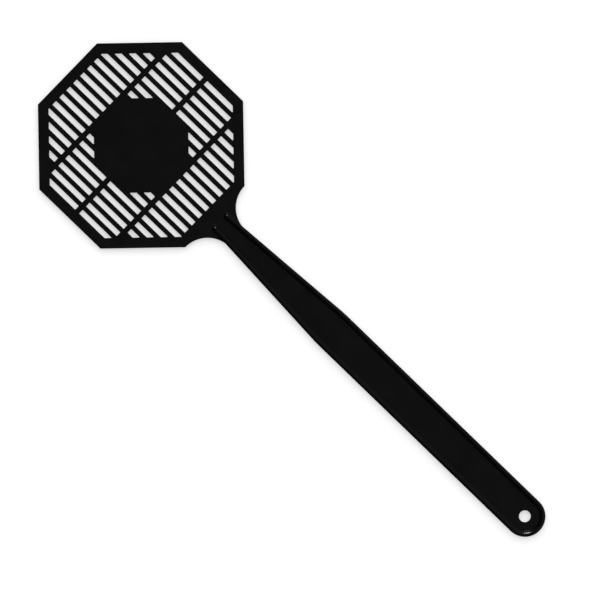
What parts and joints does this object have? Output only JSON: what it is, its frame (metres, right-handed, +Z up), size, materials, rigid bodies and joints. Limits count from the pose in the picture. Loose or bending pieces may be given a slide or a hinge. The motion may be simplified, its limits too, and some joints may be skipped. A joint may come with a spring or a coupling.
{
  "type": "fly swatter",
  "caption": "Flat plastic fly swatter: octagonal slotted head with a solid centre panel, flared neck, tapered rimmed handle and a hanging hole.",
  "frame": {"origin": "under the middle of the swatter's length and width, on the surface that it lies on", "axes": "+Y along the handle towards the head, +Z up out of the face that swats, +X to the right of someone who holds the handle; X = 0 is the plane of symmetry"},
  "size_m": [0.127, 0.4064, 0.0051],
  "materials": {
    "black_plastic": "semi-gloss moulded black plastic"
  },
  "bodies": {
    "root": {"head_border": "black_plastic", "center_panel": "black_plastic", "cross_bar_tip": "black_plastic", "cross_bar_center": "black_plastic", "cross_bar_neck": "black_plastic", "slat_01": "black_plastic", "slat_02": "black_plastic", "slat_03": "black_plastic", "slat_04": "black_plastic", "slat_05": "black_plastic", "slat_06": "black_plastic", "slat_07": "black_plastic", "slat_08": "black_plastic", "slat_09": "black_plastic", "slat_10": "black_plastic", "slat_11": "black_plastic", "slat_12": "black_plastic", "slat_13": "black_plastic", "slat_14": "black_plastic", "slat_15": "black_plastic", "slat_16": "black_plastic", "slat_17": "black_plastic", "slat_18": "black_plastic", "neck": "black_plastic", "handle_web": "black_plastic", "rim_left_taper": "black_plastic", "rim_left_grip": "black_plastic", "rim_right_taper": "black_plastic", "rim_right_grip": "black_plastic", "rim_end": "black_plastic"}
  },
  "joints": []
}
